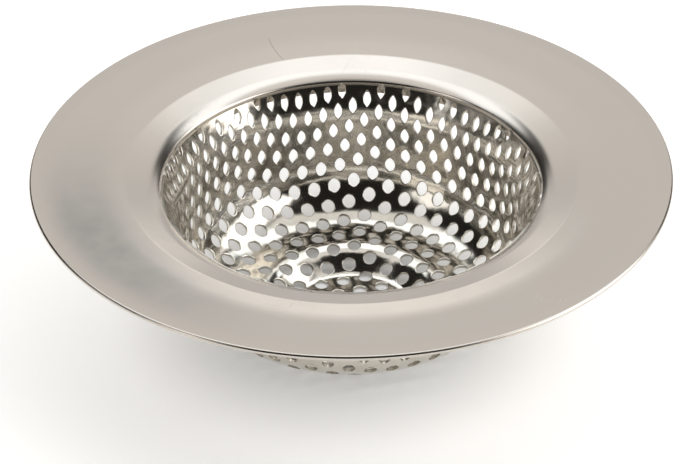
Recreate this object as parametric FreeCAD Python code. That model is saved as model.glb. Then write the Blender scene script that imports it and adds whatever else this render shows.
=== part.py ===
"""Sink strainer: a rim flange that carries a drawn, perforated basket, held together by tack welds.

Millimetres, +Z up. The origin is the centre of the basket's underside, on which the strainer stands.
"""
import FreeCAD, Part
import math
import os

# Rim flange: one sheet with a hemmed edge, a shallow dish that steepens at a shoulder, a slope from a crease
# to the throat, a rolled lip and a turned-down collar.
rim_diameter = 114.3
overall_height = 31.75
rim_sheet = 0.4
hem_width = 3.1
hem_gap = 0.1
hem_bend = 12.0
shoulder_drop = 0.52
shoulder_diameter = 91.0
shoulder_bend = 60.0
crease_drop = 1.15
crease_diameter = 80.8
crease_bend = 4.0
roll_drop = 2.377
roll_diameter = 70.85
roll_bend = 7.5
lip_drop = 3.296
lip_inside_bend = 0.2
collar_depth = 2.154

# Basket: one perforated sheet, drawn to a stepped bowl with a flared top. Diameters are of its inside.
basket_sheet = 0.5
bottom_diameter = 22.1
bottom_bend = 2.0
ledge_diameter = 32.6
ledge_rise = 3.2
ledge_bend = 7.0
bowl_diameter = 59.1
bowl_bend = 10.6
neck_diameter = 62.7
neck_bend = 10.5
flare_height = 5.1
throat_diameter = 67.0
throat_drop = 3.65

# Perforation of the flat blank: round holes on a triangular pattern, turned and shifted from the centre.
hole_diameter = 2.5
hole_pitch = 4.2
pattern_turn_degrees = 15.9
pattern_shift_x = 0.47
pattern_shift_y = 2.22

# Drawing squeezes the sheet round the bowl, so a hole narrows and lengthens as powers of that squeeze.
narrowing_power = 1.4
lengthening_power = -0.6
round_limit_share = 0.995
lens_limit_share = 0.84

# Tack welds in the wedge between the flared basket and the collar.
weld_count = 6
weld_diameter = 1.2
weld_gap = 0.05
weld_search_count = 24

# Reach of every cutter past the face that it cuts.
cut_overrun = 1.0

# The least length that counts as an edge, far below any size above.
edge_tolerance = 1e-6

up = FreeCAD.Vector(0, 0, 1)
centre = FreeCAD.Vector(0, 0, 0)


def profile_point(radius, height):
    """A point of a section, drawn in the XZ plane and turned round Z later."""
    return FreeCAD.Vector(radius, 0, height)


def right_of(direction):
    """The direction a quarter turn clockwise in the section, seen with X right and Z up."""
    return FreeCAD.Vector(direction.z, 0, -direction.x)


class SheetPath:
    """The upper face of a bent sheet as straight runs joined by tangent bends, with its lower face to the right.

    A bend is limited by the runs beside it, so that two bends never meet past the middle of a short run.
    """

    def __init__(self, corners, bends):
        self.corners = corners
        self.runs = [(b - a).normalize() for a, b in zip(corners, corners[1:])]
        self.turns = [self.turn_between(a, b) for a, b in zip(self.runs, self.runs[1:])]
        self.bends = self.limited(bends)
        self.steps = self.trace(corners, self.bends)

    def turn_between(self, first, second):
        """The angle from one run to the next, positive to the left."""
        across = first.x * second.z - first.z * second.x
        return math.atan2(across, first.dot(second))

    def limited(self, bends):
        """Bend radii, shrunk where two neighbouring bends need more than the run between them."""
        reaches = [0] + [r * math.tan(abs(t) / 2) for r, t in zip(bends, self.turns)] + [0]
        lengths = [(b - a).Length for a, b in zip(self.corners, self.corners[1:])]
        fits = [min(1, run / max(a + b, edge_tolerance)) for run, a, b in zip(lengths, reaches, reaches[1:])]
        return [r * min(a, b) for r, a, b in zip(bends, fits, fits[1:])]

    def trace(self, corners, bends):
        """Runs as (start, end, None, 0) and bends as (start, end, middle of the bend, turn)."""
        steps = []
        start = corners[0]
        for corner, bend, turn, run, following in zip(corners[1:], bends, self.turns, self.runs, self.runs[1:]):
            reach = bend * math.tan(abs(turn) / 2)
            bend_start = corner - run * reach
            bend_end = corner + following * reach
            inward = (following - run).normalize()
            middle = corner + inward * (bend / math.cos(turn / 2) - bend)
            steps.append((start, bend_start, None, 0))
            steps.append((bend_start, bend_end, middle, turn))
            start = bend_end
        steps.append((start, corners[-1], None, 0))
        return [step for step in steps if (step[1] - step[0]).Length > edge_tolerance]

    def lower_steps(self, sheet):
        """The same path along the sheet's other face."""
        offsets = [right_of(run) * sheet for run in self.runs]
        corners = [self.corners[0] + offsets[0]]
        for corner, first, second, turn in zip(self.corners[1:], offsets, offsets[1:], self.turns):
            corners.append(corner + (first + second) * (1 / (1 + math.cos(turn))))
        corners.append(self.corners[-1] + offsets[-1])
        bends = [bend + math.copysign(sheet, turn) for bend, turn in zip(self.bends, self.turns)]
        return self.trace(corners, bends)

    def edges(self, steps):
        """Line and arc edges of a traced path."""
        made = []
        for start, end, middle, turn in steps:
            curve = Part.LineSegment(start, end) if middle is None else Part.Arc(start, middle, end)
            made.append(curve.toShape())
        return made

    def solid(self, sheet):
        """The sheet, turned once round the Z axis."""
        upper = self.steps
        lower = self.lower_steps(sheet)
        ends = [Part.LineSegment(upper[0][0], lower[0][0]), Part.LineSegment(upper[-1][1], lower[-1][1])]
        edges = self.edges(upper) + self.edges(lower) + [end.toShape() for end in ends]
        outline = Part.Wire(Part.__sortEdges__(edges))
        return Part.Face(outline).revolve(centre, up, 360)

    def length(self):
        """Length of the upper face's path."""
        return sum(edge.Length for edge in self.edges(self.steps))

    def place(self, distance):
        """The point that far along the upper face's path, and the direction of the path there."""
        left = distance
        for step, edge in zip(self.steps, self.edges(self.steps)):
            if left <= edge.Length:
                break
            left = left - edge.Length
        start, end, middle, turn = step
        if middle is None:
            run = (end - start).normalize()
            return start + run * left, run
        parameter = edge.getParameterByLength(min(left, edge.Length))
        return edge.valueAt(parameter), edge.tangentAt(parameter)


# Heights and radii that both pieces share.
rim_radius = rim_diameter / 2
throat_radius = throat_diameter / 2
throat_height = overall_height - throat_drop
neck_radius = neck_diameter / 2
neck_height = throat_height - flare_height

basket_path = SheetPath(
    [
        profile_point(0, basket_sheet),
        profile_point(bottom_diameter / 2, basket_sheet),
        profile_point(ledge_diameter / 2, basket_sheet + ledge_rise),
        profile_point(bowl_diameter / 2, basket_sheet + ledge_rise),
        profile_point(neck_radius, neck_height),
        profile_point(throat_radius, throat_height),
    ],
    [bottom_bend, ledge_bend, bowl_bend, neck_bend],
)
basket_rim = basket_path.corners[-1] + right_of(basket_path.runs[-1]) * basket_sheet

# The collar stands just outside the basket's top edge, and the rolled lip leads over to that edge.
collar_radius = basket_rim.x + weld_gap
crease_radius = crease_diameter / 2
crease_height = overall_height - crease_drop
lip_height = overall_height - lip_drop
collar_foot = lip_height - collar_depth
hem_radius = rim_radius - hem_width
hem_thickness = 2 * rim_sheet + hem_gap

rim_path = SheetPath(
    [
        profile_point(collar_radius, collar_foot),
        profile_point(collar_radius, lip_height),
        profile_point(roll_diameter / 2, overall_height - roll_drop),
        profile_point(crease_radius, crease_height),
        profile_point(shoulder_diameter / 2, overall_height - shoulder_drop),
        profile_point(hem_radius, overall_height),
        profile_point(rim_radius, overall_height),
        profile_point(rim_radius, overall_height - hem_thickness),
        profile_point(hem_radius, overall_height - hem_thickness),
    ],
    [
        lip_inside_bend + rim_sheet,
        roll_bend,
        crease_bend,
        shoulder_bend,
        hem_bend,
        hem_thickness / 2,
        hem_thickness / 2,
    ],
)


def blank_holes():
    """Distance from the centre and azimuth of each hole of the flat blank that lies on the sheet."""
    reach = basket_path.length()
    turn = math.radians(pattern_turn_degrees)
    first = FreeCAD.Vector(math.cos(turn), math.sin(turn), 0) * hole_pitch
    second = FreeCAD.Vector(math.cos(turn + math.pi / 3), math.sin(turn + math.pi / 3), 0) * hole_pitch
    shift = FreeCAD.Vector(pattern_shift_x, pattern_shift_y, 0)
    rows = math.ceil(2 * reach / hole_pitch)
    holes = []
    for row in range(-rows, rows + 1):
        for column in range(-rows, rows + 1):
            spot = first * column + second * row + shift
            if spot.Length < reach:
                holes.append((spot.Length, math.atan2(spot.y, spot.x)))
    return holes


def hole_form(distance):
    """A hole's place and path direction on the drawn sheet, its squeeze, and half its width and length."""
    spot, run = basket_path.place(distance)
    squeeze = min(1, spot.x / distance) if distance > edge_tolerance else 1
    half_width = hole_diameter / 2 * squeeze ** narrowing_power
    half_length = hole_diameter / 2 * squeeze ** lengthening_power
    return spot, run, squeeze, half_width, half_length


def hole_outline(half_width, half_length, squeeze):
    """Closed wire of one hole in the XY plane, its width along X: a circle, an ellipse or a pointed lens."""
    if squeeze > round_limit_share:
        return Part.Wire(Part.Circle(centre, up, half_width).toShape())
    if squeeze > lens_limit_share:
        ellipse = Part.Ellipse(FreeCAD.Vector(0, half_length, 0), FreeCAD.Vector(half_width, 0, 0), centre)
        return Part.Wire(ellipse.toShape())
    top = FreeCAD.Vector(0, half_length, 0)
    side = FreeCAD.Vector(half_width, 0, 0)
    return Part.Wire([Part.Arc(top, side, -top).toShape(), Part.Arc(-top, -side, top).toShape()])


def hole_cutter(distance, azimuth):
    """A prism that cuts one hole square to the drawn sheet."""
    spot, run, squeeze, half_width, half_length = hole_form(distance)
    depth = basket_sheet + 2 * cut_overrun
    prism = Part.Face(hole_outline(half_width, half_length, squeeze)).extrude(up * depth)
    outward = right_of(run)
    girth = FreeCAD.Vector(0, 1, 0)
    frame = FreeCAD.Matrix(
        girth.x, run.x, outward.x, spot.x - outward.x * cut_overrun,
        girth.y, run.y, outward.y, spot.y - outward.y * cut_overrun,
        girth.z, run.z, outward.z, spot.z - outward.z * cut_overrun,
        0, 0, 0, 1,
    )
    prism.Placement = FreeCAD.Placement(frame)
    prism.rotate(centre, up, math.degrees(azimuth))
    return prism


def perforated_basket():
    """The drawn sheet with every hole of the blank cut through it."""
    cutters = [hole_cutter(distance, azimuth) for distance, azimuth in blank_holes()]
    return basket_path.solid(basket_sheet).cut(Part.Compound(cutters))


def weld_azimuths():
    """Evenly spread places, each moved within one pitch to where the nearest hole is furthest away."""
    weld_foot = basket_path.length() - weld_diameter / basket_path.runs[-1].z
    holes = [azimuth for distance, azimuth in blank_holes() if distance + hole_form(distance)[-1] > weld_foot]
    step = hole_pitch / throat_radius / weld_search_count
    places = [2 * math.pi * (index / weld_count) - math.pi for index in range(weld_count)]
    chosen = []
    for place in places:
        tries = [place + step * (index + 1) for index in range(weld_search_count)]
        chosen.append(max(tries, key=lambda spot: min((abs(spot - hole) for hole in holes), default=0)))
    return chosen


def tack_welds():
    """Small round welds that fill the wedge between the basket's flare and the collar."""
    flare = basket_path.runs[-1]
    foot = basket_rim - flare * (weld_diameter / flare.z)
    wedge = [basket_rim, foot, profile_point(collar_radius, foot.z), profile_point(collar_radius, basket_rim.z)]
    ring = Part.Face(Part.makePolygon(wedge + wedge[:1])).revolve(centre, up, 360)
    welds = []
    for azimuth in weld_azimuths():
        inner = profile_point(foot.x - cut_overrun, (foot.z + basket_rim.z) / 2)
        peg = Part.makeCylinder(weld_diameter / 2, collar_radius - foot.x + 2 * cut_overrun, inner,
                                FreeCAD.Vector(1, 0, 0))
        peg.rotate(centre, up, math.degrees(azimuth))
        welds.extend(ring.common(peg).Solids)
    return Part.Compound(welds)


os.makedirs("parts", exist_ok=True)
rim_path.solid(rim_sheet).exportStep("parts/rim_flange.step")
perforated_basket().exportStep("parts/basket.step")
tack_welds().exportStep("parts/tack_welds.step")
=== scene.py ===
"""Sink strainer: a satin rim with a hemmed edge that carries a polished, perforated, drawn basket.

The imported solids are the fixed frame. The rim and the basket are worked out again as fine meshes with
exact normals, from the same sizes as the solids, and every surface gets its own steel finish.
"""

import logging
import math
from dataclasses import dataclass, field
from enum import Enum
from typing import Any, Optional, Sequence, Union

import bpy
import numpy as np
from mathutils import Matrix, Vector


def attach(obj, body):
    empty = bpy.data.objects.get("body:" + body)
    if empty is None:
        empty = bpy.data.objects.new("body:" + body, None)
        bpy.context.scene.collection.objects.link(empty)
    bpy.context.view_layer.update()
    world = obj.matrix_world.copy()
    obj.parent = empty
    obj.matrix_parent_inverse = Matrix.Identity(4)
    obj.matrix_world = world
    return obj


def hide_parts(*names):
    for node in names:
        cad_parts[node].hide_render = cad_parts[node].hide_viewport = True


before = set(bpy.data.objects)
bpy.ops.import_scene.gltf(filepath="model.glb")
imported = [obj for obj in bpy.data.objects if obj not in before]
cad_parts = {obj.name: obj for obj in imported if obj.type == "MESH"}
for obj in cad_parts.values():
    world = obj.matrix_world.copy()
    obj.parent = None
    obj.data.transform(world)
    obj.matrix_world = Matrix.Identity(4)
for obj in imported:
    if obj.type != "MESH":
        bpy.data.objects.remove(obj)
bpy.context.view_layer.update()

log = logging.getLogger("strainer")

MM = 0.001
TINY = 1e-9
Number = Union[int, float]
Triple = tuple[float, float, float]


class Side(Enum):
    """The two faces of a formed sheet, as signs of the direction to the left of its path."""

    UPPER = 1
    LOWER = -1


class SheetPath:
    """The upper face of a formed sheet in section: straight runs joined by tangent bends.

    Along the path the heading h starts at h0 in each step and turns at the rate k, which is zero in a run
    and 1 / radius in a bend. The point d further on lies at the chord d * sin(k d / 2) / (k d / 2), in the
    direction h0 + k d / 2, so one formula serves runs and bends alike.
    """

    def __init__(self, corners: Sequence[tuple[float, float]], bends: Sequence[float]) -> None:
        """Works out the start, heading, curvature and length of every run and bend.

        Args:
            corners: Points as (radius, height) where the straight runs would meet.
            bends: Radius of the bend at each inner corner.
        """
        points = np.array(corners, float)
        runs = np.diff(points, axis=0)
        lengths = np.hypot(runs[:, 0], runs[:, 1])
        headings = np.unwrap(np.arctan2(runs[:, 1], runs[:, 0]))
        turns = np.diff(headings)
        radii = np.array(bends, float)
        reaches = np.concatenate([[0.0], radii * np.tan(np.abs(turns) / 2), [0.0]])
        count = len(lengths)
        self.lengths = np.empty(2 * count - 1)
        self.lengths[0::2] = lengths - reaches[:-1] - reaches[1:]
        self.lengths[1::2] = radii * np.abs(turns)
        self.curvatures = np.zeros(2 * count - 1)
        self.curvatures[1::2] = np.sign(turns) / radii
        self.headings = np.empty(2 * count - 1)
        self.headings[0::2] = headings
        self.headings[1::2] = headings[:-1]
        self.begins = np.concatenate([[0.0], np.cumsum(self.lengths)])
        self.starts = np.empty((2 * count - 1, 2))
        direction = runs / lengths[:, None]
        self.starts[0::2] = points[:-1] + direction * reaches[:-1, None]
        self.starts[1::2] = points[1:-1] - direction[:-1] * reaches[1:-1, None]

    @property
    def reach(self) -> float:
        """Length of the whole path."""
        return float(self.begins[-1])

    def at(self, distance: np.ndarray) -> tuple[np.ndarray, np.ndarray]:
        """Points and headings at given distances along the path.

        Args:
            distance: Distances from the path's start, of any shape.

        Returns:
            Points as (radius, height) in the last axis, and headings in radians.
        """
        step = np.clip(np.searchsorted(self.begins, distance, side="right") - 1, 0, len(self.lengths) - 1)
        gone = distance - self.begins[step]
        half_turn = self.curvatures[step] * gone / 2
        chord = gone * np.sinc(half_turn / np.pi)
        aim = self.headings[step] + half_turn
        points = self.starts[step] + chord[..., None] * np.stack([np.cos(aim), np.sin(aim)], axis=-1)
        return points, self.headings[step] + 2 * half_turn

    def samples(self, run_step: float, bend_angle: float) -> np.ndarray:
        """Distances that divide each run and bend evenly.

        Args:
            run_step: Longest piece of a straight run.
            bend_angle: Largest turn, in radians, of a piece of a bend.

        Returns:
            Rising distances, from zero to the whole length.
        """
        turned = np.abs(self.curvatures) * self.lengths
        counts = np.maximum(1, np.ceil(np.maximum(self.lengths / run_step, turned / bend_angle))).astype(int)
        spans = zip(self.begins, self.begins[1:], counts)
        parts = [np.linspace(begin, end, count, endpoint=False) for begin, end, count in spans]
        return np.concatenate(parts + [[self.reach]])


def leaning(heading: np.ndarray, side: Side) -> np.ndarray:
    """Unit normals in section: the heading turned a quarter to the left, or to the right for the lower face.

    Args:
        heading: Headings in radians.
        side: Which face of the sheet.

    Returns:
        Normals as (radial, upward) in the last axis.
    """
    return side.value * np.stack([-np.sin(heading), np.cos(heading)], axis=-1)


def swung(section: np.ndarray, azimuth: np.ndarray) -> np.ndarray:
    """Points or normals of a section swung round Z: (r, z) at azimuth a becomes (r cos a, r sin a, z).

    Args:
        section: Values as (radial, upward) in the last axis.
        azimuth: Azimuths in radians, of a shape that broadcasts with the section's.

    Returns:
        Values as (x, y, z) in the last axis.
    """
    radial, upward = np.broadcast_arrays(section[..., 0], azimuth)[0], section[..., 1]
    upward = np.broadcast_to(upward, radial.shape)
    return np.stack([radial * np.cos(azimuth), radial * np.sin(azimuth), upward], axis=-1)


def mesh_piece(name: str, points: np.ndarray, faces: np.ndarray, normals: np.ndarray,
               cut: Optional[np.ndarray] = None) -> bpy.types.Object:
    """A smooth mesh object with exact normals at each face's corners.

    Args:
        name: Name of the piece.
        points: Vertices in millimetres.
        faces: Vertex numbers, one row for each face, all of as many corners.
        normals: Normals for each corner of each face.
        cut: Which faces are sheared edges of the sheet, kept as the attribute "cut".

    Returns:
        The linked object, at the origin.
    """
    mesh = bpy.data.meshes.new(name)
    mesh.vertices.add(len(points))
    mesh.vertices.foreach_set("co", (points * MM).astype(np.float32).ravel())
    corners = faces.shape[1]
    mesh.loops.add(faces.size)
    mesh.loops.foreach_set("vertex_index", faces.astype(np.int32).ravel())
    mesh.polygons.add(len(faces))
    mesh.polygons.foreach_set("loop_start", np.arange(0, faces.size, corners, dtype=np.int32))
    mesh.update(calc_edges=True)
    mesh.validate()
    mesh.polygons.foreach_set("use_smooth", np.ones(len(mesh.polygons), bool))
    mesh.normals_split_custom_set(normals.reshape(-1, 3).astype(np.float32).tolist())
    if cut is not None:
        mesh.attributes.new("cut", "FLOAT", "FACE").data.foreach_set("value", cut.astype(np.float32))
    piece = bpy.data.objects.new(name, mesh)
    bpy.context.scene.collection.objects.link(piece)
    return piece


class Shader:
    """A node tree under construction, with one way to add a node."""

    def __init__(self, tree: bpy.types.NodeTree) -> None:
        """Empties the tree.

        Args:
            tree: Node tree of a material or of the world.
        """
        self.tree = tree
        tree.nodes.clear()

    def node(self, kind: str, settings: Optional[dict[str, Any]] = None, **sockets: Any) -> "Made":
        """Adds a node.

        Args:
            kind: Blender's type name, without its ShaderNode prefix.
            settings: Properties to set before anything is linked.
            sockets: Values or links for its inputs, named with underscores for spaces, or by in0, in1.

        Returns:
            The node, whose outputs are read by name.
        """
        made = self.tree.nodes.new("ShaderNode" + kind)
        for name, value in (settings or {}).items():
            setattr(made, name, value)
        for name, value in sockets.items():
            number = name[2:] if name.startswith("in") and name[2:].isdigit() else None
            socket = made.inputs[int(number)] if number else made.inputs[name.replace("_", " ")]
            if isinstance(value, Value):
                self.tree.links.new(value.socket, socket)
            else:
                socket.default_value = value
        return Made(self, made)

    def blend(self, share: "Value", start: Union["Value", Triple], end: Triple) -> "Value":
        """A colour that goes from the start at share 0 to the end at share 1.

        Args:
            share: How far to go.
            start: First colour, or the output that holds it.
            end: Last colour.

        Returns:
            The blended colour.
        """
        first = start if isinstance(start, Value) else (*start, 1.0)
        return self.node("Mix", {"data_type": "RGBA"}, in0=share, in6=first, in7=(*end, 1.0)).out(2)


class Made:
    """A node that was added, read by the names of its outputs."""

    def __init__(self, shader: Shader, node: bpy.types.Node) -> None:
        """Keeps the node and the tree that it is in."""
        self.shader = shader
        self.node = node

    def out(self, name: Union[str, int] = 0) -> "Value":
        """The output of that name or number."""
        return Value(self.shader, self.node.outputs[name])


class Value:
    """A socket that Python's operators join through Math nodes."""

    def __init__(self, shader: Shader, socket: bpy.types.NodeSocket) -> None:
        """Keeps the socket and the tree that it is in."""
        self.shader = shader
        self.socket = socket

    def _math(self, operation: str, *others: Union["Value", Number],
              first: Optional[Number] = None) -> "Value":
        """A Math node of this value and others, or with a number before it.

        Args:
            operation: The node's operation.
            others: Values or numbers that come after this value.
            first: A number that comes before this value.

        Returns:
            The node's result.
        """
        values = ([self] if first is None else [first, self]) + list(others)
        sockets = {f"in{index}": value for index, value in enumerate(values)}
        return self.shader.node("Math", {"operation": operation}, **sockets).out()

    def __add__(self, other: Union["Value", Number]) -> "Value":
        """Sum."""
        return self._math("ADD", other)

    __radd__ = __add__

    def __sub__(self, other: Union["Value", Number]) -> "Value":
        """Difference."""
        return self._math("SUBTRACT", other)

    def __rsub__(self, other: Number) -> "Value":
        """A number less this value."""
        return self._math("SUBTRACT", first=other)

    def __mul__(self, other: Union["Value", Number]) -> "Value":
        """Product."""
        return self._math("MULTIPLY", other)

    __rmul__ = __mul__

    def __truediv__(self, other: Union["Value", Number]) -> "Value":
        """Quotient."""
        return self._math("DIVIDE", other)

    def __rtruediv__(self, other: Number) -> "Value":
        """A number over this value."""
        return self._math("DIVIDE", first=other)

    def __pow__(self, other: Number) -> "Value":
        """Power."""
        return self._math("POWER", other)

    def __abs__(self) -> "Value":
        """Size without sign."""
        return self._math("ABSOLUTE")

    def function(self, operation: str, *others: Union["Value", Number]) -> "Value":
        """Any other operation of a Math node, by its name."""
        return self._math(operation, *others)

    def rise(self, low: Number, high: Number) -> "Value":
        """A smooth step from 0 at low to 1 at high; high may be below low."""
        settings = {"interpolation_type": "SMOOTHSTEP"}
        return self.shader.node("MapRange", settings, Value=self, From_Min=low, From_Max=high).out()

    def within(self, low: Number, high: Number, soft: Number) -> "Value":
        """1 between low and high, fading to 0 over the soft width on either side of each."""
        return self.rise(low - soft, low + soft) * self.rise(high + soft, high - soft)


@dataclass(frozen=True)
class Surface:
    """Where a shaded point lies, as shader values in millimetres."""

    shader: Shader
    place: Value
    radius: Value
    height: Value

    @staticmethod
    def of(shader: Shader) -> "Surface":
        """Reads the object coordinates, which are the strainer's own frame.

        Args:
            shader: The material's node tree.

        Returns:
            The point's place, its distance from the axis and its height.
        """
        metres = shader.node("TexCoord").out("Object")
        scaled = shader.node("VectorMath", {"operation": "SCALE"}, Vector=metres, Scale=1 / MM)
        place = scaled.out("Vector")
        parts = shader.node("SeparateXYZ", Vector=place)
        x, y = parts.out("X"), parts.out("Y")
        radius = (x * x + y * y).function("SQRT")
        return Surface(shader, place, radius, parts.out("Z"))

    def cut(self) -> Value:
        """1 on the sheared edges of the sheet and 0 elsewhere."""
        return self.shader.node("Attribute", {"attribute_name": "cut"}).out("Fac")

    def away(self, x: float, y: float) -> Value:
        """Distance in plan from a point.

        Args:
            x: The point's place to the right.
            y: The point's place to the back.

        Returns:
            The distance.
        """
        minus = {"operation": "SUBTRACT"}
        offset = self.shader.node("VectorMath", minus, in0=self.place, in1=(x, y, 0.0)).out()
        parts = self.shader.node("SeparateXYZ", Vector=offset)
        along, across = parts.out("X"), parts.out("Y")
        return (along * along + across * across).function("SQRT")

    def near(self, x: float, y: float, reach: float) -> Value:
        """A soft spot that fades from 1 at a point in plan to 0 at its reach."""
        return self.away(x, y).rise(reach, 0.0)

    def hairline(self, circle: Triple, spot: Triple, width: float) -> Value:
        """A fine line on part of a circle in plan, which ends a little past its half length from its middle.

        Args:
            circle: The circle's centre and radius.
            spot: The line's middle and half its length.
            width: Half the line's width.

        Returns:
            1 in the line's middle and 0 beside it.
        """
        centre_x, centre_y, radius = circle
        middle_x, middle_y, half = spot
        line = abs(self.away(centre_x, centre_y) - radius).rise(width, 0.0)
        return line * self.away(middle_x, middle_y).rise(half * 1.1, half * 0.8)

    def cloud(self, size: float, detail: float, rough: float, shift: float = 0.0) -> Value:
        """Soft noise from 0 to 1 with features of about that size.

        Args:
            size: Size of the largest features.
            detail: Number of finer octaves.
            rough: Weight of the finer octaves.
            shift: Moves the noise to another part of its pattern.

        Returns:
            The noise.
        """
        settings = {"noise_dimensions": "4D"}
        sockets = {"Vector": self.place, "W": shift, "Scale": 1 / size, "Detail": detail, "Roughness": rough}
        return self.shader.node("TexNoise", settings, **sockets).out(0)

    def scratch(self, turn: float, across: float, along: float, fine: float) -> Value:
        """Thin straight scratches, where a stretched noise passes its middle value.

        Args:
            turn: Direction of the scratches in degrees from X.
            across: Spacing across the scratches.
            along: Length of the scratches.
            fine: Share of the noise's range that a scratch takes.

        Returns:
            1 on a scratch and 0 beside it.
        """
        scale = Vector((1 / along, 1 / across, 1 / along))
        rotation = Vector((0.0, 0.0, math.radians(turn)))
        mapping = {"vector_type": "TEXTURE"}
        turned = self.shader.node("Mapping", mapping, Vector=self.place, Rotation=rotation).out()
        stretched = self.shader.node("VectorMath", {"operation": "MULTIPLY"}, in0=turned, in1=scale).out()
        sockets = {"Vector": stretched, "W": turn, "Scale": 1.0, "Detail": 1.0}
        noise = self.shader.node("TexNoise", {"noise_dimensions": "4D"}, **sockets).out(0)
        return abs(noise - 0.5).rise(fine, 0.0)

    def specks(self, spacing: float, size: float) -> Value:
        """Scattered round specks, at some of the points of a cell noise.

        Args:
            spacing: Mean distance between cell points.
            size: Radius of a speck.

        Returns:
            1 inside a speck and 0 elsewhere.
        """
        sockets = {"Vector": self.place, "Scale": 1 / spacing}
        cells = self.shader.node("TexVoronoi", {"feature": "F1"}, **sockets)
        chosen = self.shader.node("SeparateColor", Color=cells.out("Color")).out(0)
        return cells.out("Distance").rise(size / spacing, 0.5 * size / spacing) * chosen.rise(0.72, 0.8)


@dataclass(frozen=True)
class SteelFinish:
    """Base of the steel finishes: a metal whose colour, gloss and relief vary a little over the surface."""

    name: str
    colour: Triple
    wear_and_reflection_colour: Triple
    roughness: float

    def material(self) -> bpy.types.Material:
        """Makes the node material.

        Returns:
            The material, with its pattern on object coordinates.
        """
        made = bpy.data.materials.new(self.name)
        made.use_nodes = True
        shader = Shader(made.node_tree)
        surface = Surface.of(shader)
        tint, gloss, normal = self.pattern(surface)
        base = shader.blend(tint, self.colour, self.wear_and_reflection_colour)
        steel = shader.node("BsdfPrincipled", Base_Color=base, Metallic=1.0, Roughness=gloss, Normal=normal)
        shader.node("OutputMaterial", Surface=steel.out())
        return made

    def pattern(self, surface: Surface) -> tuple[Value, Value, Value]:
        """The finish's own detail.

        Args:
            surface: Where the shaded point lies.

        Returns:
            Share of the wear and reflection colour, roughness and normal.
        """
        raise NotImplementedError

    def relief(self, surface: Surface, height: Value, depth: float) -> Value:
        """A normal bent by a height pattern from 0 to 1 of that depth in millimetres."""
        sockets = {"Strength": 1.0, "Distance": depth * MM, "Height": height}
        return surface.shader.node("Bump", **sockets).out()


@dataclass(frozen=True)
class SatinRim(SteelFinish):
    """Satin steel of the rim: fine grain, faint clouds, scratches and specks from handling, and a painted dark
    reflection.

    Each row of scratches gives their direction in degrees, spacing, length and fineness. The painted dark
    reflection on the near-left flange has a place and a reach, and the hairline lies on a circle, near a spot.
    """

    grain: float = 0.12
    cloud_size: float = 9.0
    cloud_share: float = 0.16
    wave_size: float = 16.0
    wave_depth: float = 0.05
    scratches: tuple[tuple[float, float, float, float], ...] = (
        (64.0, 1.1, 26.0, 0.006),
        (-22.0, 1.6, 34.0, 0.005),
    )
    scratch_share: float = 0.1
    patch_size: float = 14.0
    patch_range: tuple[float, float] = (0.5, 0.68)
    speck_spacing: float = 6.0
    speck_size: float = 0.22
    speck_share: float = 0.3
    # painted dark reflection: a darker patch round a place on the near-left flange, within a band of radii,
    # mottled at the mottle size
    painted_dark_reflection: Triple = (-46.0, -26.0, 46.0)
    painted_dark_reflection_band: tuple[float, float] = (43.0, 54.0)
    painted_dark_reflection_soft: float = 3.0
    painted_dark_reflection_share: float = 0.7
    mottle_size: float = 6.0
    hairline_circle: Triple = (-0.16, 47.9, 15.42)
    hairline_spot: Triple = (-14.1, 41.9, 3.7)
    hairline_width: float = 0.12

    def pattern(self, surface: Surface) -> tuple[Value, Value, Value]:
        """Clouds and a painted dark reflection tint the steel, scratches and specks dull it, and waves bend
        its normal.

        Args:
            surface: Where the shaded point lies.

        Returns:
            Share of the colour of wear and painted dark reflection, roughness and normal.
        """
        clouds = surface.cloud(self.cloud_size, 3.0, 0.55)
        grain = surface.cloud(self.grain, 1.0, 0.5, 3.0)
        first, second = self.scratches
        patches = surface.cloud(self.patch_size, 2.0, 0.5, 7.0).rise(*self.patch_range)
        marks = (surface.scratch(*first) + surface.scratch(*second)) * patches
        specks = surface.specks(self.speck_spacing, self.speck_size)
        mottle = 0.4 + surface.cloud(self.mottle_size, 3.0, 0.6, 9.0) * 1.2
        # painted dark reflection: a mottled darker patch on the near-left flange, within a band of radii
        painted_dark_reflection = surface.near(*self.painted_dark_reflection) * surface.radius.within(*self.painted_dark_reflection_band, self.painted_dark_reflection_soft)
        hairline = surface.hairline(self.hairline_circle, self.hairline_spot, self.hairline_width)
        tint = clouds * self.cloud_share + marks * self.scratch_share + specks * self.speck_share
        tint = tint + painted_dark_reflection * self.painted_dark_reflection_share * mottle + hairline
        gloss = self.roughness + (clouds - 0.5) * 0.06 + marks * 0.08 + (grain - 0.5) * 0.05
        height = surface.cloud(self.wave_size, 1.0, 0.4, 5.0) + grain * 0.03 - marks * 0.04
        return tint.function("MINIMUM", 1.0), gloss, self.relief(surface, height, self.wave_depth)


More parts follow.
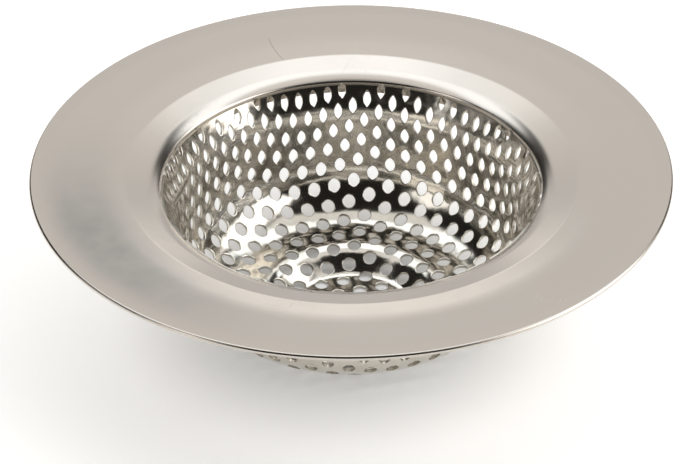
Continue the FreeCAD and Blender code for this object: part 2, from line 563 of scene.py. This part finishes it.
@dataclass(frozen=True)
class PolishedBasket(SteelFinish):
    """Polished steel of the basket: mirror-like, with a pressing's dents, draw marks and dull cut edges."""

    film_size: float = 4.0
    film_range: tuple[float, float] = (0.3, 0.75)
    film_share: float = 0.8
    dent_size: float = 5.5
    dent_depth: float = 0.16
    pucker_size: float = 2.4
    pucker_share: float = 0.5
    flare_range: tuple[float, float] = (20.5, 26.5)
    grain: float = 0.4
    grain_share: float = 0.03
    cut_roughness: float = 0.22
    cut_share: float = 0.6
    well_wall: tuple[float, float] = (11.2, 16.0)
    well_swell: float = 0.34

    def pattern(self, surface: Surface) -> tuple[Value, Value, Value]:
        """Dents and draw marks bend the mirror image, most of all at the flare, and a film dulls it.

        A smooth swell across the well's wall makes it mirror as if it were about 6 degrees steeper.

        Args:
            surface: Where the shaded point lies.

        Returns:
            Share of the worn colour, roughness and normal.
        """
        film = surface.cloud(self.film_size, 3.0, 0.6, 1.0)
        cut = surface.cut()
        dents = surface.cloud(self.dent_size, 2.0, 0.5, 4.0)
        puckers = surface.cloud(self.pucker_size, 1.0, 0.5, 8.0) * surface.height.rise(*self.flare_range)
        grain = surface.cloud(self.grain, 2.0, 0.6, 6.0)
        swell = surface.radius.rise(*self.well_wall) * (self.well_swell / self.dent_depth)
        tint = film.rise(*self.film_range) * self.film_share + cut * self.cut_share
        gloss = self.roughness + film * 0.06 + cut * self.cut_roughness
        height = dents + puckers * self.pucker_share + grain * self.grain_share + swell
        return tint.function("MINIMUM", 1.0), gloss, self.relief(surface, height, self.dent_depth)


@dataclass(frozen=True)
class WeldMetal(SteelFinish):
    """Dull weld metal: a rippled bead with a heat tint."""

    blotch_size: float = 0.7
    ripple_depth: float = 0.06
    ripples: float = 9.0
    ripple_bend: float = 4.0

    def pattern(self, surface: Surface) -> tuple[Value, Value, Value]:
        """Ripples across the bead, as a sine of the height bent by the blotches of a heat tint.

        Args:
            surface: Where the shaded point lies.

        Returns:
            Share of the worn colour, roughness and normal.
        """
        blotch = surface.cloud(self.blotch_size, 3.0, 0.6, 2.0)
        ripple = (surface.height * self.ripples + blotch * self.ripple_bend).function("SINE") * 0.5 + 0.5
        gloss = self.roughness + (blotch - 0.5) * 0.2
        return blotch, gloss, self.relief(surface, ripple, self.ripple_depth)


@dataclass
class Rim:
    """The rim: one sheet with a turned-down collar, a rolled lip, a slope, a shallow dish and a hemmed edge.

    Sizes are in millimetres, of the sheet's upper face, which is the collar's inner one.
    """

    sheet: float = 0.4
    collar_radius: float = 34.0107
    collar_foot: float = 26.3
    lip_height: float = 28.454
    lip_bend: float = 0.6
    roll_radius: float = 35.425
    roll_height: float = 29.373
    roll_bend: float = 7.5
    crease_radius: float = 40.4
    crease_height: float = 30.6
    crease_bend: float = 4.0
    shoulder_radius: float = 45.5
    shoulder_height: float = 31.23
    shoulder_bend: float = 60.0
    hem_radius: float = 54.05
    hem_bend: float = 12.0
    rim_radius: float = 57.15
    top: float = 31.75
    hem_thickness: float = 0.9
    segments: int = 288
    run_step: float = 1.6
    bend_angle: float = math.radians(7.0)
    # the rim's second colour serves both its wear marks and its painted dark reflection
    finish: SatinRim = SatinRim("satin_rim_steel", (0.615, 0.565, 0.51), (0.38, 0.372, 0.355), 0.2)

    def path(self) -> SheetPath:
        """Upper face of the sheet, from the collar's foot out to the rim and back under as a hem.

        Returns:
            The path in section.
        """
        corners = [
            (self.collar_radius, self.collar_foot),
            (self.collar_radius, self.lip_height),
            (self.roll_radius, self.roll_height),
            (self.crease_radius, self.crease_height),
            (self.shoulder_radius, self.shoulder_height),
            (self.hem_radius, self.top),
            (self.rim_radius, self.top),
            (self.rim_radius, self.top - self.hem_thickness),
            (self.hem_radius, self.top - self.hem_thickness),
        ]
        edge_bend = self.hem_thickness / 2
        inner_bends = [self.lip_bend, self.roll_bend, self.crease_bend]
        outer_bends = [self.shoulder_bend, self.hem_bend, edge_bend, edge_bend]
        return SheetPath(corners, inner_bends + outer_bends)

    def build(self) -> bpy.types.Object:
        """Swings the sheet's section round Z.

        The section is a closed loop: out along the upper face, and back along the lower one, which lies a
        sheet's thickness away on the right. Each face keeps its own normals, so that the two cut ends of the
        sheet stay sharp.

        Returns:
            The rim's object, dressed.
        """
        path = self.path()
        along = path.samples(self.run_step, self.bend_angle)
        upper, heading = path.at(along)
        lower = upper + leaning(heading, Side.LOWER) * self.sheet
        ends = np.stack([np.cos(heading), np.sin(heading)], axis=-1)
        loop = np.concatenate([upper, lower[::-1]])
        count, half = len(loop), len(upper)
        leaves = np.concatenate([leaning(heading, Side.UPPER), leaning(heading, Side.LOWER)[::-1]])
        first, second = leaves.copy(), np.roll(leaves, -1, axis=0)
        first[half - 1] = second[half - 1] = ends[-1]
        first[count - 1] = second[count - 1] = -ends[0]
        azimuth = np.linspace(0.0, 2 * np.pi, self.segments, endpoint=False)
        points = swung(loop[:, None, :], azimuth[None, :])
        here = np.arange(count)[:, None] * self.segments + np.arange(self.segments)[None, :]
        beside = np.roll(here, -1, axis=1)
        faces = np.stack([here, np.roll(here, -1, axis=0), np.roll(beside, -1, axis=0), beside], axis=-1)
        turned = np.roll(azimuth, -1)
        corners = [
            swung(first[:, None, :], azimuth[None, :]),
            swung(second[:, None, :], azimuth[None, :]),
            swung(second[:, None, :], turned[None, :]),
            swung(first[:, None, :], turned[None, :]),
        ]
        normals = np.stack(corners, axis=2)
        return self.dress(mesh_piece("formed_rim", points.reshape(-1, 3), faces.reshape(-1, 4), normals))

    def dress(self, piece: bpy.types.Object) -> bpy.types.Object:
        """Gives the rim its finish and its place in the part.

        Args:
            piece: The rim's object.

        Returns:
            The same object.
        """
        piece.data.materials.append(self.finish.material())
        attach(piece, "root")
        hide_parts("rim_flange")
        return piece


@dataclass
class Basket:
    """The basket: a flat perforated blank drawn to a stepped bowl, in millimetres.

    A point of the blank keeps its azimuth, and its distance from the centre becomes the distance along the
    bowl's inner section. The sheet is squeezed round the bowl by c = radius / distance, and a hole there is
    2.5 c ** 1.4 wide and 2.5 c ** -0.6 long, more and more pointed at its ends. Sizes are of the sheet's
    inner face, where the straight runs of its section would meet.
    """

    sheet: float = 0.5
    bottom_radius: float = 11.05
    bottom_bend: float = 2.0
    ledge_radius: float = 16.3
    ledge_height: float = 3.7
    ledge_bend: float = 7.0
    bowl_radius: float = 29.55
    bowl_bend: float = 10.6
    neck_radius: float = 31.35
    neck_height: float = 23.0
    neck_bend: float = 10.5
    throat_radius: float = 33.5
    throat_height: float = 28.1
    hole: float = 2.5
    pitch: float = 4.2
    turn: float = math.radians(15.9)
    shift: tuple[float, float] = (0.47, 2.22)
    narrowing: float = 1.4
    lengthening: float = -0.6
    pointed_squeeze: float = 0.3
    directions: int = 24
    ring_shares: tuple[float, ...] = (0.0, 0.2, 1.0)
    edge_sink: float = 0.05
    edge_lean: float = math.radians(38.0)
    edge_margin: float = 1e-6
    join_step: float = 1e-4
    finish: PolishedBasket = PolishedBasket(
        "polished_basket_steel", (0.66, 0.625, 0.565), (0.55, 0.515, 0.45), 0.08)
    path: SheetPath = field(init=False)

    def __post_init__(self) -> None:
        """Works out the bowl's section, from the middle of the bottom out and up to the throat."""
        corners = [
            (0.0, self.sheet),
            (self.bottom_radius, self.sheet),
            (self.ledge_radius, self.ledge_height),
            (self.bowl_radius, self.ledge_height),
            (self.neck_radius, self.neck_height),
            (self.throat_radius, self.throat_height),
        ]
        self.path = SheetPath(corners, [self.bottom_bend, self.ledge_bend, self.bowl_bend, self.neck_bend])

    def cells(self) -> tuple[np.ndarray, np.ndarray]:
        """Centres of the blank's triangular hole pattern whose cells reach the sheet.

        Returns:
            Centres on the flat blank, and whether each is on the sheet, so that its hole is cut.
        """
        span = math.ceil(2 * self.path.reach / self.pitch)
        column, row = np.meshgrid(np.arange(-span, span + 1), np.arange(-span, span + 1))
        angle = np.array([self.turn, self.turn + math.pi / 3])
        steps = self.pitch * np.stack([np.cos(angle), np.sin(angle)], axis=-1)
        centres = column.reshape(-1, 1) * steps[0] + row.reshape(-1, 1) * steps[1] + np.array(self.shift)
        distance = np.hypot(centres[:, 0], centres[:, 1])
        near = distance < self.path.reach + self.pitch / math.sqrt(3)
        return centres[near], distance[near] < self.path.reach

    def rings(self) -> tuple[np.ndarray, np.ndarray, np.ndarray]:
        """The web of each cell as rings of points on the blank, from its hole to its hexagonal border.

        In the direction g the border lies at half the pitch over the cosine of g's angle to the nearest
        neighbour. The hole's outline is (w / 2) t (1 - m + m |t|) round the bowl and (h / 2) u along it,
        where t and u are g's parts in those two directions. Points past the sheet's edge are drawn back to it.

        Returns:
            Points with axes cell, ring, direction and (x, y), whether each lies on the edge, and the unit
            directions to the hole's centre at its outline, which are zero elsewhere.
        """
        centres, cut = self.cells()
        fan = np.arange(self.directions) * 2 * np.pi / self.directions
        aim = np.stack([np.cos(self.turn + fan), np.sin(self.turn + fan)], axis=-1)
        off = (fan + np.pi / 6) % (np.pi / 3) - np.pi / 6
        border = centres[:, None, :] + aim * (self.pitch / 2 / np.cos(off))[:, None]
        distance = np.hypot(centres[:, 0], centres[:, 1])
        outward = centres / np.maximum(distance, TINY)[:, None]
        around = np.stack([-outward[:, 1], outward[:, 0]], axis=-1)
        spot, _ = self.path.at(np.minimum(distance, self.path.reach))
        squeeze = np.minimum(1.0, spot[:, 0] / np.maximum(distance, TINY))
        pointed = np.clip((1 - squeeze) / self.pointed_squeeze, 0.0, 1.0)[:, None]
        half_width = (self.hole / 2 * squeeze ** (self.narrowing - 1) * cut)[:, None]
        half_length = (self.hole / 2 * squeeze ** self.lengthening * cut)[:, None]
        across = np.einsum("kd,nd->nk", aim, around)
        lengthwise = np.einsum("kd,nd->nk", aim, outward)
        across = half_width * across * (1 - pointed + pointed * np.abs(across))
        outline = centres[:, None, :] + across[..., None] * around[:, None, :]
        outline = outline + (half_length * lengthwise)[..., None] * outward[:, None, :]
        outline, outline_held = self.held(outline)
        border, border_held = self.held(border)
        share = np.array(self.ring_shares)[None, :, None, None]
        points = outline[:, None] * (1 - share) + border[:, None] * share
        both = np.broadcast_to((outline_held & border_held)[:, None, :], points.shape[:3])
        reach = np.hypot(points[..., 0], points[..., 1])
        drawn_back = points * (self.path.reach / np.maximum(reach, TINY))[..., None]
        points = np.where(both[..., None], drawn_back, points)
        on_edge = np.hypot(points[..., 0], points[..., 1]) > self.path.reach - self.edge_margin
        inward = centres[:, None, :] - points[:, 0]
        span = np.hypot(inward[..., 0], inward[..., 1])
        lean = np.zeros_like(points)
        lean[:, 0] = inward / np.maximum(span, TINY)[..., None] * (cut[:, None] & ~on_edge[:, 0])[..., None]
        return points, on_edge, lean

    def held(self, points: np.ndarray) -> tuple[np.ndarray, np.ndarray]:
        """Points of the blank drawn back to its edge where they lie past it.

        Args:
            points: Points with (x, y) in the last axis.

        Returns:
            The points, and which were drawn back.
        """
        distance = np.hypot(points[..., 0], points[..., 1])
        past = distance > self.path.reach
        scale = np.where(past, self.path.reach / np.maximum(distance, TINY), 1.0)
        return points * scale[..., None], past

    def web(self) -> tuple[np.ndarray, np.ndarray, np.ndarray]:
        """The blank's mesh: all cells' rings, joined where cells meet.

        Returns:
            Points on the blank, triangles that face up, and each point's direction to its hole's centre.
        """
        rings, on_edge, lean = self.rings()
        cells, count, around, _ = rings.shape
        number = np.arange(cells * count * around).reshape(cells, count, around)
        inner, outer = number[:, :-1], number[:, 1:]
        next_inner, next_outer = np.roll(inner, -1, axis=2), np.roll(outer, -1, axis=2)
        first = np.stack([inner, outer, next_outer], axis=-1).reshape(-1, 3)
        second = np.stack([inner, next_outer, next_inner], axis=-1).reshape(-1, 3)
        triangles = np.concatenate([first, second])
        flat = rings.reshape(-1, 2)
        triangles = triangles[~on_edge.reshape(-1)[triangles].all(axis=1)]
        keys = np.round(flat / self.join_step).astype(np.int64)
        _, kept, joined = np.unique(keys, axis=0, return_index=True, return_inverse=True)
        triangles = joined.reshape(-1)[triangles]
        distinct = (triangles != np.roll(triangles, 1, axis=1)).all(axis=1)
        triangles = triangles[distinct]
        used, triangles = np.unique(triangles, return_inverse=True)
        return flat[kept][used], triangles.reshape(-1, 3), lean.reshape(-1, 2)[kept][used]

    def skins(self, blank: np.ndarray, lean: np.ndarray) -> tuple[np.ndarray, ...]:
        """The blank's points on the drawn bowl, on its inner and its outer skin.

        A blank point at distance s and azimuth a goes to the section's point at s, swung to a. The outer skin
        lies a sheet's thickness away along the lower face's normal. At a hole's outline the inner skin is
        rolled over by the punch: it sinks a little, and its normal leans towards the hole.

        Args:
            blank: Points on the blank.
            lean: Each point's direction to its hole's centre, or zero.

        Returns:
            Inner points, outer points, inner normals and outer normals.
        """
        distance = np.hypot(blank[:, 0], blank[:, 1])
        azimuth = np.arctan2(blank[:, 1], blank[:, 0])
        section, heading = self.path.at(distance)
        inside = swung(section, azimuth)
        up = swung(leaning(heading, Side.UPPER), azimuth)
        outward = blank / np.maximum(distance, TINY)[:, None]
        along = swung(np.stack([np.cos(heading), np.sin(heading)], axis=-1), azimuth)
        around = np.stack([-np.sin(azimuth), np.cos(azimuth), np.zeros_like(azimuth)], axis=-1)
        inward = along * np.sum(lean * outward, axis=1)[:, None]
        inward = inward + around * (lean[:, 1] * outward[:, 0] - lean[:, 0] * outward[:, 1])[:, None]
        rolled = np.hypot(lean[:, 0], lean[:, 1])[:, None]
        upright = np.where(rolled > 0.5, math.cos(self.edge_lean), 1.0)
        normals = up * upright + inward * math.sin(self.edge_lean)
        return inside - up * self.edge_sink * rolled, inside - up * self.sheet, normals, -up

    @staticmethod
    def walls(triangles: np.ndarray, total: int) -> np.ndarray:
        """Walls between the two skins, along every edge that has a triangle on one side only.

        Args:
            triangles: Triangles of the inner skin.
            total: Number of the inner skin's points, after which the outer skin's follow.

        Returns:
            Triangles of the walls, two for each such edge.
        """
        edges = np.concatenate([triangles[:, [0, 1]], triangles[:, [1, 2]], triangles[:, [2, 0]]])
        forward = edges[:, 0] * total + edges[:, 1]
        lone = edges[~np.isin(forward, edges[:, 1] * total + edges[:, 0])]
        start, end = lone[:, 0], lone[:, 1]
        return np.concatenate([
            np.stack([end, start, start + total], axis=-1),
            np.stack([end, start + total, end + total], axis=-1),
        ])

    def build(self) -> bpy.types.Object:
        """Draws the blank's mesh to the bowl, gives it a second skin and walls its holes and its edge.

        A wall's normal is the cross product of two of its sides.

        Returns:
            The basket's object, dressed.
        """
        blank, triangles, lean = self.web()
        inside, outside, upper, lower = self.skins(blank, lean)
        points = np.concatenate([inside, outside])
        wall = self.walls(triangles, len(blank))
        facing = np.cross(points[wall[:, 1]] - points[wall[:, 0]], points[wall[:, 2]] - points[wall[:, 0]])
        facing = facing / np.maximum(np.linalg.norm(facing, axis=1), TINY)[:, None]
        turned = triangles[:, ::-1]
        faces = np.concatenate([triangles, turned + len(blank), wall])
        normals = np.concatenate([upper[triangles], lower[turned], np.repeat(facing[:, None, :], 3, axis=1)])
        cut = np.arange(len(faces)) >= 2 * len(triangles)
        return self.dress(mesh_piece("drawn_basket", points, faces, normals, cut))

    def dress(self, piece: bpy.types.Object) -> bpy.types.Object:
        """Gives the basket its finish and its place in the part.

        Args:
            piece: The basket's object.

        Returns:
            The same object.
        """
        piece.data.materials.append(self.finish.material())
        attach(piece, "root")
        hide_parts("basket")
        return piece


@dataclass
class TackWelds:
    """The tack welds between basket and collar, kept as solids and given their own finish."""

    node: str = "tack_welds"
    finish: WeldMetal = WeldMetal("tack_weld_metal", (0.46, 0.43, 0.39), (0.33, 0.30, 0.28), 0.4)

    def dress(self) -> bpy.types.Object:
        """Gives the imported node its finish.

        Returns:
            The node's object.
        """
        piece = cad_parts[self.node]
        piece.data.materials.clear()
        piece.data.materials.append(self.finish.material())
        return piece


@dataclass(frozen=True)
class Panel:
    """A soft light or a flag of the studio, as a soft-edged patch of the sky.

    Places are zenith angles in degrees, to the right (+X) and to the back (+Y).
    """

    name: str
    right: tuple[float, float]
    back: tuple[float, float]
    soft: float
    light: Triple


@dataclass
class Studio:
    """Floor, sky of soft lights, and camera."""

    floor_half: float = 4.0
    floor_drop: float = 0.00005
    floor_colour: Triple = (0.90, 0.895, 0.885)
    # painted shadow: the lift is least near the strainer, rises over the reach, and is lowered at the back
    # shade spot
    floor_lift: tuple[float, float] = (0.22, 0.56)
    painted_shadow_reach: tuple[float, float] = (20.0, 46.0)
    lift_colour: Triple = (1.0, 0.98, 0.95)
    back_shade: Triple = (0.0, 50.0, 60.0)
    back_shade_depth: float = 0.2
    distance: float = 594.80
    elevation: float = math.radians(34.2196)
    roll: float = math.radians(-0.4036)
    aim: Triple = (-0.2662, 0.0, 17.6880)
    lens: float = 169.737
    sensor: float = 36.0
    dark: Triple = (0.02, 0.019, 0.017)
    low: Triple = (0.28, 0.272, 0.265)
    low_zenith: tuple[float, float] = (80.0, 86.0)
    panels: tuple[Panel, ...] = (
        Panel("back wall", (-30.0, 35.0), (58.0, 96.0), 4.0, (0.89, 0.88, 0.865)),
        Panel("upper back wall", (-22.0, 26.0), (45.0, 60.0), 3.0, (0.92, 0.905, 0.885)),
        Panel("low dip", (-27.0, 28.0), (75.0, 82.0), 2.0, (0.56, 0.555, 0.55)),
        Panel("warm band", (-22.0, 26.0), (53.0, 61.0), 2.5, (0.82, 0.805, 0.785)),
        Panel("cool band", (-26.0, 29.0), (60.5, 65.0), 2.0, (0.67, 0.68, 0.69)),
        Panel("bright strip", (-9.0, 9.0), (65.5, 74.0), 2.0, (1.5, 1.49, 1.46)),
        Panel("ceiling", (-36.0, 40.0), (12.0, 36.0), 3.0, (1.80, 1.88, 1.95)),
        Panel("ceiling edge", (-20.0, 20.0), (36.0, 45.0), 2.0, (1.52, 1.56, 1.58)),
        Panel("notch", (-9.0, 9.0), (38.0, 46.0), 2.0, (0.95, 0.935, 0.915)),
        Panel("zenith", (-32.0, 32.0), (-6.0, 12.0), 3.0, (1.05, 1.04, 1.02)),
        Panel("right back", (46.0, 68.0), (14.0, 40.0), 3.0, (1.35, 1.34, 1.32)),
        Panel("right strip", (36.0, 96.0), (-38.0, 26.0), 4.0, (2.5, 2.5, 2.48)),
        Panel("left front", (-68.0, -42.0), (-48.0, -16.0), 4.0, (1.6, 1.58, 1.54)),
        Panel("left low", (-82.0, -66.0), (-15.0, 15.0), 4.0, (0.7, 0.69, 0.67)),
    )

    def floor(self) -> bpy.types.Object:
        """A flat pale floor just under the strainer.

        Returns:
            The floor's object.
        """
        steps = np.linspace(-self.floor_half, self.floor_half, 9)
        x, y = np.meshgrid(steps, steps)
        points = np.stack([x, y, np.full_like(x, -self.floor_drop)], axis=-1).reshape(-1, 3) / MM
        number = np.arange(x.size).reshape(x.shape)
        corners = [number[:-1, :-1], number[:-1, 1:], number[1:, 1:], number[1:, :-1]]
        faces = np.stack(corners, axis=-1).reshape(-1, 4)
        normals = np.broadcast_to(np.array([0.0, 0.0, 1.0]), (len(faces), 4, 3))
        piece = mesh_piece("pale_floor", points, faces, normals)
        piece.data.materials.append(self.floor_paint())
        return piece

    def floor_paint(self) -> bpy.types.Material:
        """Pale paint that the camera and mirrored views see lifted towards white. The lift is smaller near the
        strainer and at a spot behind it, which deepens the real shadow there with painted shadow.

        From below the floor is clear, so that the underside can be looked at.

        Returns:
            The floor's material.
        """
        made = bpy.data.materials.new("pale_floor")
        made.use_nodes = True
        shader = Shader(made.node_tree)
        path = shader.node("LightPath")
        seen = path.out("Is Camera Ray").function("MAXIMUM", path.out("Is Glossy Ray"))
        seen = seen.function("MAXIMUM", path.out("Is Transmission Ray"))
        seen = seen * path.out("Diffuse Depth").function("LESS_THAN", 0.5)
        paint = shader.node("BsdfDiffuse", Color=(*self.floor_colour, 1.0)).out()
        least, most = self.floor_lift
        spot = Surface.of(shader)
        # painted shadow: less lift within the reach round the strainer's axis
        lift = least + spot.radius.rise(*self.painted_shadow_reach) * (most - least)
        # painted shadow: less lift at a spot behind the strainer, seen through the basket's holes
        lift = lift - spot.near(*self.back_shade) * self.back_shade_depth
        lifted = shader.blend(seen * lift, (0.0, 0.0, 0.0), self.lift_colour)
        glow = shader.node("Emission", Color=lifted, Strength=1.0).out()
        lit = shader.node("AddShader", in0=paint, in1=glow).out()
        clear = shader.node("BsdfTransparent").out()
        under = shader.node("NewGeometry").out("Backfacing")
        shader.node("OutputMaterial", Surface=shader.node("MixShader", in0=under, in1=lit, in2=clear).out())
        return made

    def sky(self) -> bpy.types.World:
        """A studio sky: dark, pale near the horizon, with each panel laid over what came before it.

        The direction (x, y, z) has the zenith angle acos z, and its parts to the right and to the back are
        that angle times x and y over their length.

        Returns:
            The world, set on the scene.
        """
        world = bpy.data.worlds.new("studio_sky")
        world.use_nodes = True
        shader = Shader(world.node_tree)
        parts = shader.node("SeparateXYZ", Vector=shader.node("TexCoord").out("Generated"))
        x, y, z = parts.out("X"), parts.out("Y"), parts.out("Z")
        flat = (x * x + y * y).function("SQRT").function("MAXIMUM", TINY)
        zenith = z.function("ARCCOSINE") * (180 / math.pi)
        right, back = zenith * x / flat, zenith * y / flat
        colour = shader.blend(zenith.rise(*self.low_zenith), self.dark, self.low)
        for panel in self.panels:
            patch = right.within(*panel.right, panel.soft) * back.within(*panel.back, panel.soft)
            colour = shader.blend(patch, colour, panel.light)
        shader.node("OutputWorld", Surface=shader.node("Background", Color=colour, Strength=1.0).out())
        bpy.context.scene.world = world
        return world

    def camera(self) -> bpy.types.Object:
        """The photograph's camera: it stands back from its aim, at the elevation, and is rolled a little.

        Returns:
            The camera's object, set on the scene.
        """
        back = Vector((0.0, -math.cos(self.elevation), math.sin(self.elevation)))
        right = Vector((1.0, 0.0, 0.0))
        up = back.cross(right)
        across = right * math.cos(self.roll) + up * math.sin(self.roll)
        upward = up * math.cos(self.roll) - right * math.sin(self.roll)
        place = (Vector(self.aim) + back * self.distance) * MM
        data = bpy.data.cameras.new("photograph_camera")
        data.lens = self.lens
        data.sensor_width = self.sensor
        data.clip_start = 0.01
        piece = bpy.data.objects.new("photograph_camera", data)
        turn = Matrix((across, upward, back)).transposed()
        piece.matrix_world = Matrix.Translation(place) @ turn.to_4x4()
        bpy.context.scene.collection.objects.link(piece)
        bpy.context.scene.camera = piece
        return piece


def report(piece: bpy.types.Object) -> None:
    """Logs a piece's name and the number of its faces.

    Args:
        piece: The finished piece.
    """
    log.info("%s: %d faces", piece.name, len(piece.data.polygons))


def main() -> None:
    """Builds and dresses the strainer, and sets up the studio."""
    logging.basicConfig(level=logging.INFO, format="%(name)s: %(message)s")
    bpy.context.scene.view_settings.view_transform = "Standard"
    report(Rim().build())
    report(Basket().build())
    report(TackWelds().dress())
    studio = Studio()
    report(studio.floor())
    studio.sky()
    studio.camera()


if __name__ == "__main__":
    main()
